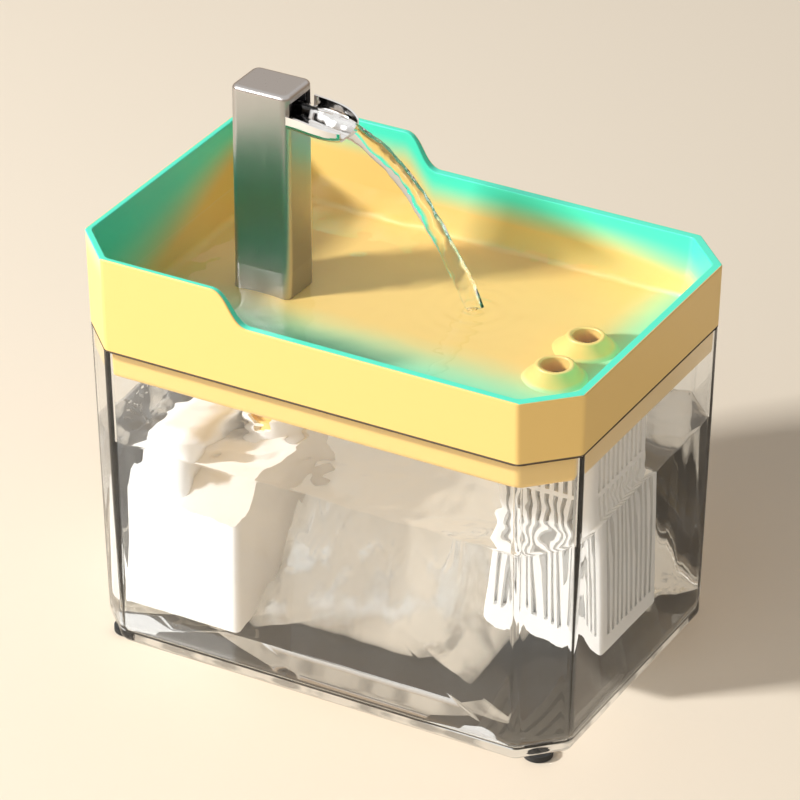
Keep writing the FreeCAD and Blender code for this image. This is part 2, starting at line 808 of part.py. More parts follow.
def make_pump_cover():
    """Front plate with the intake eye, its spokes and the boss that the dial turns on."""
    high = pump_y1 + volute_cover_thickness
    plate = pump_box(pump_y1, high)
    eye = pipe(intake_eye, bush_radius + eye_ring, on_axis(pump_y1 - overcut), on_axis(high + overcut))
    plate = plate.cut(eye)
    half = spoke_width / 2
    for turn in range(3):
        spoke = box(pump_axis_x - half, pump_axis_x + half, pump_y1, high,
                    pump_axis_z + bush_radius + eye_ring - spoke_overlap,
                    pump_axis_z + intake_eye + spoke_overlap)
        spoke.rotate(on_axis(0), V(0, 1, 0), 120 * turn)
        plate = plate.fuse(spoke)
    boss = rod(bush_radius + boss_wall, on_axis(high - boss_root), on_axis(high + dial_thickness + boss_rise))
    plate = plate.fuse(boss)
    seat_end = high - boss_root + dial_gap
    plate = plate.cut(rod(bush_radius + running_gap, on_axis(pump_y1 - overcut), on_axis(seat_end)))
    hole = screw_radius + running_gap
    for x, z in screw_places():
        plate = plate.cut(rod(hole, V(x, pump_y1 - overcut, z), V(x, high + overcut, z)))
    return plate


def make_pump_screws():
    screws = []
    high = pump_y1 + volute_cover_thickness
    top = high + screw_head_height
    across, along = screw_slot_width / 2, screw_slot_length / 2
    for x, z in screw_places():
        shank = rod(screw_radius, V(x, chamber_floor + overcut, z), V(x, high, z))
        head = rod(screw_head_radius, V(x, high, z), V(x, top, z))
        low = top - screw_slot_depth
        slot = box(x - along, x + along, low, top + overcut, z - across, z + across)
        cross = box(x - across, x + across, low, top + overcut, z - along, z + along)
        screws.append(shank.fuse(head).cut(slot).cut(cross))
    return Part.makeCompound(screws)


def make_flow_dial():
    """Shutter disc that turns over the intake eye and throttles it."""
    low = pump_y1 + volute_cover_thickness + dial_gap
    high = low + dial_thickness
    boss = bush_radius + boss_wall + running_gap
    disc = pipe(dial_radius, boss, on_axis(low), on_axis(high))
    middle = pump_axis_z + (intake_eye + bush_radius + eye_ring) / 2
    for turn in range(3):
        hole = rod(dial_hole_radius, V(pump_axis_x, low - overcut, middle),
                   V(pump_axis_x, high + overcut, middle))
        hole.rotate(on_axis(0), V(0, 1, 0), 120 * turn + dial_hole_turn)
        disc = disc.cut(hole)
    half = dial_tab_width / 2
    tab = box(pump_axis_x - half, pump_axis_x + half, low, high, pump_axis_z + dial_radius - dial_tab_root,
              pump_axis_z + dial_radius + dial_tab_reach)
    return disc.fuse(tab)


# Rotor

impeller_back = impeller_middle - impeller_width / 2
impeller_front = impeller_middle + impeller_width / 2


def make_impeller():
    hub = rod(impeller_hub, on_axis(impeller_back), on_axis(impeller_front))
    wheel = hub.fuse(rod(impeller_radius, on_axis(impeller_back), on_axis(impeller_back + impeller_disc)))
    half = blade_thickness / 2
    for turn in range(blade_count):
        blade = box(pump_axis_x - half, pump_axis_x + half, impeller_back, impeller_front,
                    pump_axis_z + impeller_hub - blade_root, pump_axis_z + impeller_radius - impeller_tip_gap)
        blade.rotate(on_axis(0), V(0, 1, 0), 360 / blade_count * turn)
        wheel = wheel.fuse(blade)
    low, high = impeller_back - overcut, impeller_front + overcut
    return wheel.cut(rod(shaft_radius + running_gap, on_axis(low), on_axis(high)))


def make_impeller_magnet():
    return pipe(magnet_radius, shaft_radius + running_gap, on_axis(well_end + magnet_end_gap),
                on_axis(impeller_back))


def make_impeller_shaft():
    return rod(shaft_radius, on_axis(well_end + shaft_end_gap), on_axis(pump_y1 + shaft_nose))


def make_shaft_bushes():
    inner = shaft_radius + shaft_press
    back = pipe(well_radius - running_gap, inner, on_axis(well_end), on_axis(well_end + bush_length))
    front = pipe(bush_radius, inner, on_axis(pump_y1 - front_bush_back), on_axis(pump_y1 + front_bush_nose))
    return Part.makeCompound([back, front])


# Stator

def stator_box():
    """Half sizes of the laminated frame that fits in the pump's pocket."""
    gap = pump_wall + slip_gap
    return pump_width / 2 - gap, pump_height / 2 - gap


def make_stator_core():
    """Laminated frame with a pole on each side of the rotor's well."""
    hx, hz = stator_box()
    frame = box(pump_axis_x - hx, pump_axis_x + hx, stator_y0, stator_y1, pump_axis_z - hz, pump_axis_z + hz)
    long_edges = [e for e in frame.Edges if e.BoundBox.YLength > stator_length / 2]
    frame = frame.makeFillet(stator_corner, long_edges)
    nx, nz = hx - stator_yoke, hz - stator_yoke
    inner = box(pump_axis_x - nx, pump_axis_x + nx, stator_y0 - overcut, stator_y1 + overcut,
                pump_axis_z - nz, pump_axis_z + nz)
    poles = box(pump_axis_x - hx, pump_axis_x + hx, stator_y0, stator_y1,
                pump_axis_z - pole_half, pump_axis_z + pole_half)
    radius = well_radius + well_wall + running_gap
    well = rod(radius, on_axis(stator_y0 - overcut), on_axis(stator_y1 + overcut))
    return frame.cut(inner).fuse(poles).cut(well).removeSplitter()


def make_stator_coils():
    """Copper winding round each pole."""
    hx, hz = stator_box()
    y0, y1 = stator_y0 - coil_overhang, stator_y1 + coil_overhang
    near = well_radius + well_wall + coil_margin
    far = hx - stator_yoke - coil_margin
    gap = pole_half + pole_gap
    coils = []
    for side in (-1, 1):
        x0, x1 = sorted((pump_axis_x + side * near, pump_axis_x + side * far))
        winding = box(x0, x1, y0, y1, pump_axis_z - coil_half, pump_axis_z + coil_half)
        long_edges = [e for e in winding.Edges if e.BoundBox.XLength > (x1 - x0) / 2]
        winding = winding.makeFillet(coil_round, long_edges)
        pole = box(x0 - overcut, x1 + overcut, stator_y0 - pole_gap, stator_y1 + pole_gap,
                   pump_axis_z - gap, pump_axis_z + gap)
        coils.append(winding.cut(pole))
    return Part.makeCompound(coils)


# Filter basket

def make_filter_basket():
    wall, y, half = basket_wall, basket_half_width, basket_slot / 2
    x0, x1 = basket_x0, basket_x1
    body = rounded_box(x0, x1, -y, y, basket_bottom, basket_top, basket_edge_radius)
    body = body.cut(rounded_box(x0 + wall, x1 - wall, -y + wall, y - wall, basket_bottom + wall,
                                basket_top + overcut, basket_edge_radius - wall / 2))
    tiers = [(basket_bottom + basket_band, basket_rail),
             (basket_rail + basket_rail_height, basket_top - basket_band)]
    cutters = []
    for low, high in tiers:
        for x in spread(x0 + basket_margin, x1 - basket_margin, basket_pitch):
            cutters.append(box(x - half, x + half, -y - overcut, y + overcut, low, high))
        for side in spread(-y + basket_margin, y - basket_margin, basket_pitch):
            cutters.append(box(x0 - overcut, x1 + overcut, side - half, side + half, low, high))
    for x in spread(x0 + basket_margin, x1 - basket_margin, basket_floor_pitch):
        cutters.append(box(x - half, x + half, -y + basket_margin, y - basket_margin, basket_bottom - overcut,
                           basket_bottom + wall + overcut))
    return body.cut(cutters)


def make_basket_lid():
    """Plate that closes the basket and grips the tray's drain stubs with two sleeves."""
    gap = basket_wall + slip_gap
    top = basket_top
    y = basket_half_width - gap
    plate = rounded_box(basket_x0 + gap, basket_x1 - gap, -y, y, top - lid_thickness, top,
                        basket_edge_radius - gap / 2)
    bore = stub_radius + running_gap
    low = top - lid_thickness - lid_sleeve_depth
    for side in (-half_spacing, half_spacing):
        plate = plate.fuse(rod(bore + lid_sleeve_wall, V(drain_x, side, low), V(drain_x, side, top)))
    for side in (-half_spacing, half_spacing):
        plate = plate.cut(rod(bore, V(drain_x, side, low - overcut), V(drain_x, side, top + overcut)))
    return plate


# Filter cartridge

def cartridge_box(gap, z0, z1):
    """Block inside the basket with a gap to its inner walls."""
    g = basket_wall + cartridge_gap + gap
    y = basket_half_width - g
    radius = max(cartridge_least_radius, basket_edge_radius - g / 2)
    return rounded_box(basket_x0 + g, basket_x1 - g, -y, y, z0, z1, radius)


cartridge_low = basket_bottom + basket_wall + seat_gap
cartridge_high = cartridge_low + cartridge_height


def grid_cutters(z0, z1):
    """Rows of slots for the cartridge's floor and its cover."""
    g = basket_wall + cartridge_gap + cartridge_wall
    inner, outer = grid_bar / 2, basket_half_width - g - grid_side_margin
    half = grid_slot / 2
    cutters = []
    for x in spread(basket_x0 + g + grid_margin, basket_x1 - g - grid_margin, grid_pitch):
        for low, high in ((-outer, -inner), (inner, outer)):
            cutters.append(box(x - half, x + half, low, high, z0, z1))
    return cutters


def make_cartridge_case():
    wall = cartridge_wall
    case = cartridge_box(0, cartridge_low, cartridge_high)
    case = case.cut(cartridge_box(wall, cartridge_low + wall, cartridge_high + overcut))
    return case.cut(grid_cutters(cartridge_low - overcut, cartridge_low + wall + overcut))


def make_cartridge_cover():
    wall = cartridge_wall
    cover = cartridge_box(wall + slip_gap, cartridge_high - wall, cartridge_high)
    return cover.cut(grid_cutters(cartridge_high - wall - overcut, cartridge_high + overcut))


def make_carbon_bed():
    low = cartridge_low + cartridge_wall + fleece_thickness
    high = cartridge_high - cartridge_wall - fleece_thickness
    return cartridge_box(cartridge_wall + slip_gap, low, high)


def make_filter_fleece():
    low = cartridge_low + cartridge_wall
    high = cartridge_high - cartridge_wall
    gap = cartridge_wall + slip_gap
    return Part.makeCompound([cartridge_box(gap, low, low + fleece_thickness),
                              cartridge_box(gap, high - fleece_thickness, high)])


os.makedirs("parts", exist_ok=True)
save("tank", make_tank())
save("tank_feet", make_feet())
save("drinking_tray", make_tray())
save("tray_seal", make_tray_seal())
save("tower_shell", make_tower_shell())
save("spout_lip", make_spout_lip())
save("tower_liner", make_tower_liner())
save("riser_pipe", make_riser_pipe())
save("tower_seal", make_tower_seal())
save("housing_tub", make_housing_tub())
save("housing_lid", make_housing_lid())
save("outlet_sleeve", make_outlet_sleeve())
save("suction_cups", make_suction_cups())
save("intake_cover", make_intake_cover())
save("intake_foam", make_intake_foam())
save("pump_body", make_pump_body())
save("pump_back_plate", make_pump_back_plate())
save("lead_gland", make_lead_gland())
save("pump_cover", make_pump_cover())
save("pump_screws", make_pump_screws())
save("flow_dial", make_flow_dial())
save("impeller", make_impeller())
save("impeller_magnet", make_impeller_magnet())
save("impeller_shaft", make_impeller_shaft())
save("shaft_bushes", make_shaft_bushes())
save("stator_core", make_stator_core())
save("stator_coils", make_stator_coils())
save("filter_basket", make_filter_basket())
save("basket_lid", make_basket_lid())
save("cartridge_case", make_cartridge_case())
save("cartridge_cover", make_cartridge_cover())
save("carbon_bed", make_carbon_bed())
save("filter_fleece", make_filter_fleece())
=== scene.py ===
"""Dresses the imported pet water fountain: finishes, water and a plain studio.

Laid out as an add-on and run as a script. Lengths are metres in the frame of the CAD model:
+Z up, +X from the tower to the drains, -Y the near long side.
"""

import math

import bpy
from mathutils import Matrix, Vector


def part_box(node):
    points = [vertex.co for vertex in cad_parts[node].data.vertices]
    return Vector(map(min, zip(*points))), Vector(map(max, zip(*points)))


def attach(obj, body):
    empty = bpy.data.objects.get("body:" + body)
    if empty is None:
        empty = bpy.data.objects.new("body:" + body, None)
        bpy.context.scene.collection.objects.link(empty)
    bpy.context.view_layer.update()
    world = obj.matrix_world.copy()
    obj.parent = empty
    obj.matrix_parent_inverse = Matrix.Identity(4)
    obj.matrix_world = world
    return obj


bl_info = {
    "name": "Pet Water Fountain",
    "version": (1, 0, 0),
    "blender": (4, 5, 0),
    "location": "View3D > Sidebar > Fountain",
    "description": "Dresses the packed fountain with its finishes, its water and a studio",
    "category": "Object",
}

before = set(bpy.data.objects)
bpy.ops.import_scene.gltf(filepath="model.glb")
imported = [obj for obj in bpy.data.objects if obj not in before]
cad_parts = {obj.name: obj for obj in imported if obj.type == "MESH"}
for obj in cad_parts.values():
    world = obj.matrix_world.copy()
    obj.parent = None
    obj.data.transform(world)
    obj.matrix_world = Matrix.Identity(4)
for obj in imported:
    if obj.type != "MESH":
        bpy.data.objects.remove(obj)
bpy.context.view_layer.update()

MM = 0.001

# Sizes that the CAD model gives
tank_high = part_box("tank")[1]
tray_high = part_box("drinking_tray")[1]
tower_low, tower_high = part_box("tower_shell")
lip_low, lip_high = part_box("spout_lip")
bed_low, bed_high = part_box("carbon_bed")

# Outer outline of the tank: half length, half width and corner leg of an octagon
TANK_OUTLINE = (tank_high.x, tank_high.y, 16.7 * MM)
TANK_DRAFT = 3.1 * MM
TANK_WALL = 3.0 * MM
TANK_BASE = 5.0 * MM
STAND = 1.5 * MM
PAN_UNDERSIDE = 114.8 * MM
BASIN_INSET = 6.6 * MM
RIM_WALL = 2.4 * MM
SHOULDER = tank_high.z + 0.8 * MM
BASIN_FLOOR = 117.0 * MM
EMBED = 0.4 * MM
TOWER_X = (tower_low.x + tower_high.x) / 2
RIM_STEP = 12.8 * MM
RAMP_TOP = TOWER_X + 16 * MM
RAMP_FOOT = TOWER_X + 31 * MM

# How far the painted teal glow inside the rim runs down and inwards: far side, then what near side and drains
# add, then the strips of floor that it covers
PAINTED_GLOW_FAR = 15 * MM
PAINTED_GLOW_NEAR = 44 * MM
PAINTED_GLOW_END = 14 * MM
NEAR_STRIP = (-40 * MM, -6 * MM)
END_STRIP = (62 * MM, 88 * MM)
STRIP_STRENGTH = 0.85

# What lights the fountain from all round, and what the camera, metal and clear pieces see there
ROOM_LIGHT = (0.31, 0.3, 0.29, 1.0)
HORIZON_SEEN = (0.5, 0.36, 0.24, 1.0)
SKY_SEEN = (1.0, 0.98, 0.95, 1.0)

# Camera's target, and its small sideways shift
LOOK_AT = Vector((-16.96 * MM, 26.15 * MM, 76.5 * MM))
SHIFT = 0.00175


# Shader building

class Wire:
    """A number between two shader nodes. Python arithmetic on it adds Math nodes."""

    def __init__(self, finish, socket):
        self.finish = finish
        self.socket = socket

    def _math(self, operation, *values):
        node = self.finish.node("ShaderNodeMath", {"operation": operation}, dict(enumerate(values)))
        return Wire(self.finish, node.outputs[0])

    def __add__(self, other):
        return self._math("ADD", self, other)

    __radd__ = __add__

    def __sub__(self, other):
        return self._math("SUBTRACT", self, other)

    def __rsub__(self, other):
        return self._math("SUBTRACT", other, self)

    def __mul__(self, other):
        return self._math("MULTIPLY", self, other)

    __rmul__ = __mul__

    def __truediv__(self, other):
        return self._math("DIVIDE", self, other)

    def __neg__(self):
        return self._math("MULTIPLY", self, -1.0)

    def __abs__(self):
        return self._math("ABSOLUTE", self)

    def above(self, other):
        return self._math("MAXIMUM", self, other)

    def ramp(self, start, end):
        """0 before start, 1 past end and a smooth S between them."""
        node = self.finish.node(
            "ShaderNodeMapRange",
            {"interpolation_type": "SMOOTHSTEP"},
            {"Value": self, "From Min": start, "From Max": end},
        )
        return Wire(self.finish, node.outputs["Result"])


class Nodes:
    """A shader node tree that nodes are added to."""

    def __init__(self, tree):
        self.tree = tree

    def node(self, kind, settings, sockets):
        """Adds a node: its settings first, then a value or a link for each socket."""
        node = self.tree.nodes.new(kind)
        for setting, value in settings.items():
            if setting == "stops":
                ramp = node.color_ramp
                while len(ramp.elements) < len(value):
                    ramp.elements.new(1.0)
                for element, (position, colour) in zip(ramp.elements, value):
                    element.position = position
                    element.color = colour
            else:
                setattr(node, setting, value)
        for name, value in sockets.items():
            key = name.replace("_", " ") if isinstance(name, str) else name
            socket = node.inputs[key]
            if isinstance(value, Wire):
                value = value.socket
            if isinstance(value, bpy.types.NodeSocket):
                self.tree.links.new(value, socket)
            else:
                socket.default_value = value
        return node


class Finish(Nodes):
    """One material, its nodes and the surface shader it ends in."""

    def __init__(self, name, **values):
        self.material = bpy.data.materials.new(name)
        self.material.use_nodes = True
        super().__init__(self.material.node_tree)
        self.tree.nodes.clear()
        self.surface = self.node("ShaderNodeBsdfPrincipled", {}, values)
        self.output = self.node("ShaderNodeOutputMaterial", {}, {"Surface": self.surface.outputs[0]})

    def place(self):
        """The object's own X, Y and Z as three numbers."""
        where = self.node("ShaderNodeTexCoord", {}, {})
        split = self.node("ShaderNodeSeparateXYZ", {}, {0: where.outputs["Object"]})
        return [Wire(self, split.outputs[i]) for i in range(3)]

    def grain(self, size, detail=2.0, stretch=(1.0, 1.0, 1.0)):
        """Noise on object coordinates, with cells of about the given size."""
        where = self.node("ShaderNodeTexCoord", {}, {})
        scaled = self.node("ShaderNodeMapping", {}, {"Vector": where.outputs["Object"], "Scale": stretch})
        noise = self.node(
            "ShaderNodeTexNoise", {}, {"Vector": scaled.outputs[0], "Scale": 1.0 / size, "Detail": detail}
        )
        return Wire(self, noise.outputs["Fac"])

    def mix(self, factor, first, second):
        """Colour that goes from the first to the second."""
        node = self.node("ShaderNodeMix", {"data_type": "RGBA"}, {0: factor, 6: first, 7: second})
        return node.outputs[2]

    def colour(self, value):
        self.tree.links.new(value, self.surface.inputs["Base Color"])

    def rough(self, value):
        self.tree.links.new(value.socket, self.surface.inputs["Roughness"])

    def relief(self, height, depth, strength=1.0):
        """Bump of a given depth."""
        bump = self.node("ShaderNodeBump", {}, {"Height": height, "Distance": depth, "Strength": strength})
        self.tree.links.new(bump.outputs[0], self.surface.inputs["Normal"])


def let_light_through(*pieces):
    """Clear pieces stay out of the way of lamp light and bounced light, which light what is inside them."""
    for piece in pieces:
        piece.visible_shadow = False
        piece.visible_diffuse = False


def paint(finish, slot, *nodes):
    """Gives CAD nodes a finish; the slot argument is not used."""
    for name in nodes:
        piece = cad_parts[name]
        piece.data.materials.clear()
        piece.data.materials.append(finish.material)


# Mesh building

def rounded_octagon(half_length, half_width, corner, radius, step):
    """Points round an octagon with rounded corners, about one step apart."""
    x, y = half_length, half_width
    ring = []
    for sx, sy in ((1, -1), (1, 1), (-1, 1), (-1, -1)):
        side, end = Vector((sx * x, sy * (y - corner))), Vector((sx * (x - corner), sy * y))
        ring += [end, side] if sx * sy < 0 else [side, end]
    softened = []
    for i, point in enumerate(ring):
        before = (ring[i - 1] - point).normalized()
        after = (ring[(i + 1) % len(ring)] - point).normalized()
        cut = radius * math.tan(math.pi / 8)
        start, end = point + before * cut, point + after * cut
        softened += [start, start.lerp(point, 0.5).lerp(point.lerp(end, 0.5), 0.5), end]
    spaced = []
    for i, point in enumerate(softened):
        following = softened[(i + 1) % len(softened)]
        pieces = max(1, round((following - point).length / step))
        spaced += [point.lerp(following, n / pieces) for n in range(pieces)]
    return spaced


def mesh_object(name, points, faces):
    """A smooth mesh object at the origin."""
    mesh = bpy.data.meshes.new(name)
    mesh.from_pydata([tuple(p) for p in points], [], faces)
    mesh.update()
    piece = bpy.data.objects.new(name, mesh)
    bpy.context.scene.collection.objects.link(piece)
    return piece


def water_block(name, levels, rings):
    """Closed body of water: outlines from the bottom up, with a fine top made of shrinking rings."""
    count = len(levels[0][0])
    points, faces = [], []
    for outline, z in levels:
        points += [Vector((p.x, p.y, z)) for p in outline]
    top_outline, top_z = levels[-1]
    for ring in range(1, rings):
        share = 1.0 - ring / rings
        points += [Vector((p.x * share, p.y * share, top_z)) for p in top_outline]
    for row in range(len(levels) + rings - 2):
        for i in range(count):
            a, b = row * count + i, row * count + (i + 1) % count
            faces.append((a, b, b + count, a + count))
    points += [Vector((0.0, 0.0, top_z)), Vector((0.0, 0.0, levels[0][1]))]
    crown, base = len(points) - 2, len(points) - 1
    last = (len(levels) + rings - 2) * count
    for i in range(count):
        following = (i + 1) % count
        faces.append((last + i, last + following, crown))
        faces.append((following, i, base))
    return mesh_object(name, points, faces)


# Geometry Nodes building

class Recipe:
    """One Geometry Nodes tree with named inputs."""

    def __init__(self, name, inputs):
        self.tree = bpy.data.node_groups.new(name, "GeometryNodeTree")
        self.tree.is_modifier = True
        self.tree.interface.new_socket("Geometry", in_out="INPUT", socket_type="NodeSocketGeometry")
        for label, kind in inputs.items():
            self.tree.interface.new_socket(label, in_out="INPUT", socket_type="NodeSocket" + kind)
        self.tree.interface.new_socket("Geometry", in_out="OUTPUT", socket_type="NodeSocketGeometry")
        self.source = self.tree.nodes.new("NodeGroupInput")
        self.result = self.tree.nodes.new("NodeGroupOutput")

    def given(self, label):
        return self.source.outputs[label]

    def node(self, kind, settings, sockets):
        """Adds a node: its settings first, then a value or a link for each socket."""
        node = self.tree.nodes.new(kind)
        for setting, value in settings.items():
            setattr(node, setting, value)
        for key, value in sockets.items():
            socket = node.inputs[key]
            if isinstance(value, bpy.types.NodeSocket):
                self.tree.links.new(value, socket)
            else:
                socket.default_value = value
        return node

    def maths(self, operation, *values):
        return self.node("ShaderNodeMath", {"operation": operation}, dict(enumerate(values))).outputs[0]

    def vector(self, operation, *values):
        return self.node("ShaderNodeVectorMath", {"operation": operation}, dict(enumerate(values))).outputs[0]

    def finish(self, geometry):
        """Realizes instances, shades smooth, sets the material and closes the tree."""
        real = self.node("GeometryNodeRealizeInstances", {}, {"Geometry": geometry})
        smooth = self.node("GeometryNodeSetShadeSmooth", {}, {"Geometry": real.outputs[0]})
        dressed = self.node(
            "GeometryNodeSetMaterial", {}, {"Geometry": smooth.outputs[0], "Material": self.given("Material")}
        )
        self.tree.links.new(dressed.outputs[0], self.result.inputs[0])


def grow(name, source, recipe, values, body):
    """Runs a recipe on a source object and keeps the result as one plain mesh that rides on a body."""
    modifier = source.modifiers.new(recipe.tree.name, "NODES")
    modifier.node_group = recipe.tree
    for item in recipe.tree.interface.items_tree:
        if item.in_out == "INPUT" and item.name in values:
            modifier[item.identifier] = values[item.name]
    evaluated = source.evaluated_get(bpy.context.evaluated_depsgraph_get())
    mesh = bpy.data.meshes.new_from_object(evaluated)
    mesh.name = name
    if not mesh.polygons:
        raise RuntimeError(name + " came out empty")
    bpy.data.objects.remove(source)
    piece = bpy.data.objects.new(name, mesh)
    bpy.context.scene.collection.objects.link(piece)
    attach(piece, body)
    return piece


def ripple_recipe():
    """Lifts the flat top of a body of water into waves and rings round a point."""
    recipe = Recipe(
        "Water ripples",
        {
            "Level": "Float",
            "Wave Height": "Float",
            "Wave Length": "Float",
            "Ring Height": "Float",
            "Ring Length": "Float",
            "Ring Centre": "Vector",
            "Ring Reach": "Float",
            "Seed": "Float",
            "Material": "Material",
        },
    )
    position = recipe.node("GeometryNodeInputPosition", {}, {}).outputs[0]
    height = recipe.node("ShaderNodeSeparateXYZ", {}, {0: position}).outputs[2]
    top = recipe.maths("GREATER_THAN", height, recipe.maths("SUBTRACT", recipe.given("Level"), 0.05 * MM))
    noise = recipe.node(
        "ShaderNodeTexNoise",
        {"noise_dimensions": "4D"},
        {
            "Vector": position,
            "W": recipe.given("Seed"),
            "Scale": recipe.maths("DIVIDE", 1.0, recipe.given("Wave Length")),
            "Detail": 1.5,
            "Roughness": 0.4,
        },
    )
    centred = recipe.maths("MULTIPLY", recipe.maths("SUBTRACT", noise.outputs[0], 0.5), 2.0)
    waves = recipe.maths("MULTIPLY", centred, recipe.given("Wave Height"))
    away = recipe.node(
        "ShaderNodeVectorMath", {"operation": "DISTANCE"}, {0: position, 1: recipe.given("Ring Centre")}
    ).outputs["Value"]
    turns = recipe.maths("MULTIPLY", recipe.maths("DIVIDE", away, recipe.given("Ring Length")), math.tau)
    faded = recipe.maths("MULTIPLY", recipe.maths("DIVIDE", away, recipe.given("Ring Reach")), -1.0)
    wave = recipe.maths("MULTIPLY", recipe.maths("COSINE", turns), recipe.maths("EXPONENT", faded))
    rings = recipe.maths("MULTIPLY", wave, recipe.given("Ring Height"))
    lift = recipe.maths("MULTIPLY", recipe.maths("ADD", waves, rings), top)
    offset = recipe.node("ShaderNodeCombineXYZ", {}, {2: lift}).outputs[0]
    moved = recipe.node(
        "GeometryNodeSetPosition", {}, {"Geometry": recipe.given("Geometry"), "Offset": offset}
    )
    recipe.finish(moved.outputs[0])
    return recipe


def stream_recipe():
    """Sweeps a flattened round section along a path and ruffles it."""
    recipe = Recipe(
        "Stream of water",
        {
            "Width": "Float",
            "Thickness": "Float",
            "Ruffle": "Float",
            "Ruffle Length": "Float",
            "Seed": "Float",
            "Material": "Material",
        },
    )
    path = recipe.node("GeometryNodeResampleCurve", {}, {"Curve": recipe.given("Geometry"), "Count": 160})
    circle = recipe.node("GeometryNodeCurvePrimitiveCircle", {}, {"Resolution": 40, "Radius": 0.5})
    scale = recipe.node(
        "ShaderNodeCombineXYZ", {}, {0: recipe.given("Thickness"), 1: recipe.given("Width"), 2: 1.0}
    )
    section = recipe.node(
        "GeometryNodeTransform", {}, {"Geometry": circle.outputs[0], "Scale": scale.outputs[0]}
    )
    swept = recipe.node(
        "GeometryNodeCurveToMesh",
        {},
        {"Curve": path.outputs[0], "Profile Curve": section.outputs[0], "Fill Caps": True},
    )
    position = recipe.node("GeometryNodeInputPosition", {}, {}).outputs[0]
    stretched = recipe.vector("MULTIPLY", position, (0.55, 1.3, 0.4))
    noise = recipe.node(
        "ShaderNodeTexNoise",
        {"noise_dimensions": "4D"},
        {
            "Vector": stretched,
            "W": recipe.given("Seed"),
            "Scale": recipe.maths("DIVIDE", 1.0, recipe.given("Ruffle Length")),
            "Detail": 2.0,
        },
    )
    swing = recipe.maths("MULTIPLY", recipe.maths("SUBTRACT", noise.outputs[0], 0.5), recipe.given("Ruffle"))
    normal = recipe.node("GeometryNodeInputNormal", {}, {}).outputs[0]
    offset = recipe.node("ShaderNodeVectorMath", {"operation": "SCALE"}, {0: normal, "Scale": swing})
    moved = recipe.node(
        "GeometryNodeSetPosition", {}, {"Geometry": swept.outputs[0], "Offset": offset.outputs[0]}
    )
    recipe.finish(moved.outputs[0])
    return recipe


def droplet_recipe():
    """Scatters round drops of mixed size over the faces of a surface."""
    recipe = Recipe(
        "Scattered drops",
        {
            "Density": "Float",
            "Smallest": "Float",
            "Largest": "Float",
            "Squash": "Float",
            "Detail": "Int",
            "Seed": "Int",
            "Material": "Material",
        },
    )
    points = recipe.node(
        "GeometryNodeDistributePointsOnFaces",
        {},
        {"Mesh": recipe.given("Geometry"), "Density": recipe.given("Density"), "Seed": recipe.given("Seed")},
    )
    size = recipe.node(
        "FunctionNodeRandomValue",
        {"data_type": "FLOAT"},
        {2: recipe.given("Smallest"), 3: recipe.given("Largest"), "Seed": recipe.given("Seed")},
    )
    drop = recipe.node(
        "GeometryNodeMeshIcoSphere", {}, {"Radius": 1.0, "Subdivisions": recipe.given("Detail")}
    )
    shape = recipe.node("ShaderNodeCombineXYZ", {}, {0: 1.0, 1: 1.0, 2: recipe.given("Squash")})
    scale = recipe.node(
        "ShaderNodeVectorMath", {"operation": "SCALE"}, {0: shape.outputs[0], "Scale": size.outputs[1]}
    )
    placed = recipe.node(
        "GeometryNodeInstanceOnPoints",
        {},
        {"Points": points.outputs[0], "Instance": drop.outputs[0], "Scale": scale.outputs[0]},
    )
    recipe.finish(placed.outputs[0])
    return recipe


# Settings that a user changes

class FountainColours(bpy.types.PropertyGroup):
    """Colours of the finishes."""

    tray: bpy.props.FloatVectorProperty(
        name="Tray", description="Colour of the moulded tray", subtype="COLOR", size=4,
        default=(0.93, 0.63, 0.2, 1.0),
    )
    # Colour of the painted glow inside the rim
    glow: bpy.props.FloatVectorProperty(
        name="Painted Rim Glow", description="Colour that the inside of the rim fades from", subtype="COLOR", size=4,
        default=(0.08, 0.88, 0.62, 1.0),
    )
    white: bpy.props.FloatVectorProperty(
        name="White Parts", description="Colour of the basket and the pump housing", subtype="COLOR", size=4,
        default=(0.9, 0.9, 0.89, 1.0),
    )
    steel: bpy.props.FloatVectorProperty(
        name="Tower", description="Tint of the tower's steel", subtype="COLOR", size=4,
        default=(0.46, 0.44, 0.43, 1.0),
    )


class FountainWater(bpy.types.PropertyGroup):
    """Levels and movement of the water."""

    tank_level: bpy.props.FloatProperty(
        name="Tank Level", description="Height of the water in the tank", unit="LENGTH", default=88.0 * MM
    )
    basin_level: bpy.props.FloatProperty(
        name="Basin Level", description="Height of the water in the tray", unit="LENGTH", default=139.0 * MM
    )
    tank_wave: bpy.props.FloatProperty(
        name="Tank Waves", description="Height of the waves in the tank", unit="LENGTH", default=2.2 * MM
    )
    basin_wave: bpy.props.FloatProperty(
        name="Basin Ripples", description="Height of the ripples in the tray", unit="LENGTH", default=0.6 * MM
    )
    stream_width: bpy.props.FloatProperty(
        name="Stream Width", description="Width of the falling water", unit="LENGTH", default=7.5 * MM
    )
    landing: bpy.props.FloatProperty(
        name="Landing", description="Where the stream meets the basin, along the length", unit="LENGTH",
        default=28.0 * MM,
    )


class FountainStage(bpy.types.PropertyGroup):
    """Floor, light and camera."""

    floor: bpy.props.FloatVectorProperty(
        name="Floor", description="Colour of the plain floor", subtype="COLOR", size=4,
        default=(0.86, 0.76, 0.62, 1.0),
    )
    azimuth: bpy.props.FloatProperty(
        name="Azimuth", description="Camera's turn round the fountain", subtype="ANGLE",
        default=math.radians(29.115),
    )
    elevation: bpy.props.FloatProperty(
        name="Elevation", description="Camera's height above the horizon", subtype="ANGLE",
        default=math.radians(29.727),
    )
    distance: bpy.props.FloatProperty(
        name="Distance", description="From the camera to the point it looks at", unit="LENGTH", default=1.8363
    )
    lens: bpy.props.FloatProperty(name="Lens", description="Focal length in millimetres", default=222.6)


# Pieces

def clear_finish(name, index, tint, **values):
    """Clear, fully transmitting finish."""
    return Finish(
        name, Base_Color=tint, Roughness=0.0, IOR=index, Transmission_Weight=1.0, **values
    )


